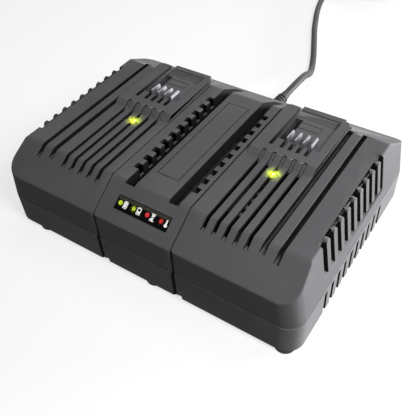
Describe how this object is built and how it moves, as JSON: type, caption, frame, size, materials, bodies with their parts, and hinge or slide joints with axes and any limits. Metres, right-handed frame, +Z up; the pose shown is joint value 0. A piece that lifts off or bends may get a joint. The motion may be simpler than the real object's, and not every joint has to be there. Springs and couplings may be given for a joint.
{
  "type": "power tool battery charger",
  "caption": "Low two-bay charger for slide-on tool batteries: sloped housing with vent combs, raised docks with contact blades, status panel, mains lead and plug.",
  "frame": {"origin": "on the ground under the middle of the housing's box, between the feet", "axes": "+X to the right across the front, +Y from the front face to the rear face where the lead leaves, +Z up"},
  "size_m": [0.23, 0.5412, 0.0682],
  "materials": {
    "top_plastic": "fine textured, satin",
    "shell_plastic": "fine textured, satin",
    "dock_plastic": "satin",
    "contact_metal": "bright plated",
    "circuit_board": "solder resist",
    "dock_light": "lit, yellow-green",
    "panel_film": "printed film",
    "light_guide": "clear, moulded",
    "ferrite": "sintered",
    "winding_tape": "polyester tape",
    "capacitor_sleeve": "shrink sleeve",
    "heatsink_aluminium": "extruded",
    "package_resin": "moulded resin",
    "copper_wire": "enamelled wire",
    "capacitor_case": "moulded",
    "fuse_glass": "clear",
    "red_lead": "insulated wire",
    "grey_lead": "insulated wire",
    "blue_lead": "insulated wire",
    "screw_steel": "zinc plated",
    "foot_rubber": "matte",
    "relief_rubber": "matte",
    "cord_jacket": "matte",
    "plug_plastic": "satin",
    "pin_metal": "nickel plated"
  },
  "bodies": {
    "root": {"bottom_housing": "shell_plastic", "left_top_housing": "top_plastic", "right_top_housing": "top_plastic", "spine_cover": "top_plastic", "left_dock_frame": "top_plastic", "right_dock_frame": "top_plastic", "left_contact_block": "dock_plastic", "right_contact_block": "dock_plastic", "left_contact_blades": "contact_metal", "right_contact_blades": "contact_metal", "left_dock_board": "circuit_board", "right_dock_board": "circuit_board", "left_dock_light": "dock_light", "right_dock_light": "dock_light", "status_window": "panel_film", "status_light_guides": "light_guide", "indicator_board": "circuit_board", "indicator_lamps": "light_guide", "main_board": "circuit_board", "transformer_core": "ferrite", "transformer_winding": "winding_tape", "mains_capacitor": "capacitor_sleeve", "output_capacitors": "capacitor_sleeve", "switch_heatsink": "heatsink_aluminium", "rectifier_heatsink": "heatsink_aluminium", "power_transistors": "package_resin", "mains_choke": "copper_wire", "x_capacitor": "capacitor_case", "bridge_rectifier": "package_resin", "fuse": "fuse_glass", "dock_leads": "red_lead", "indicator_leads": "grey_lead", "mains_leads": "blue_lead", "housing_screws": "screw_steel", "board_screws": "screw_steel", "dock_screws": "screw_steel", "feet": "foot_rubber", "strain_relief": "relief_rubber", "cord_run": "cord_jacket", "cord_coil": "cord_jacket", "plug_body": "plug_plastic", "plug_pins": "pin_metal"}
  },
  "joints": []
}
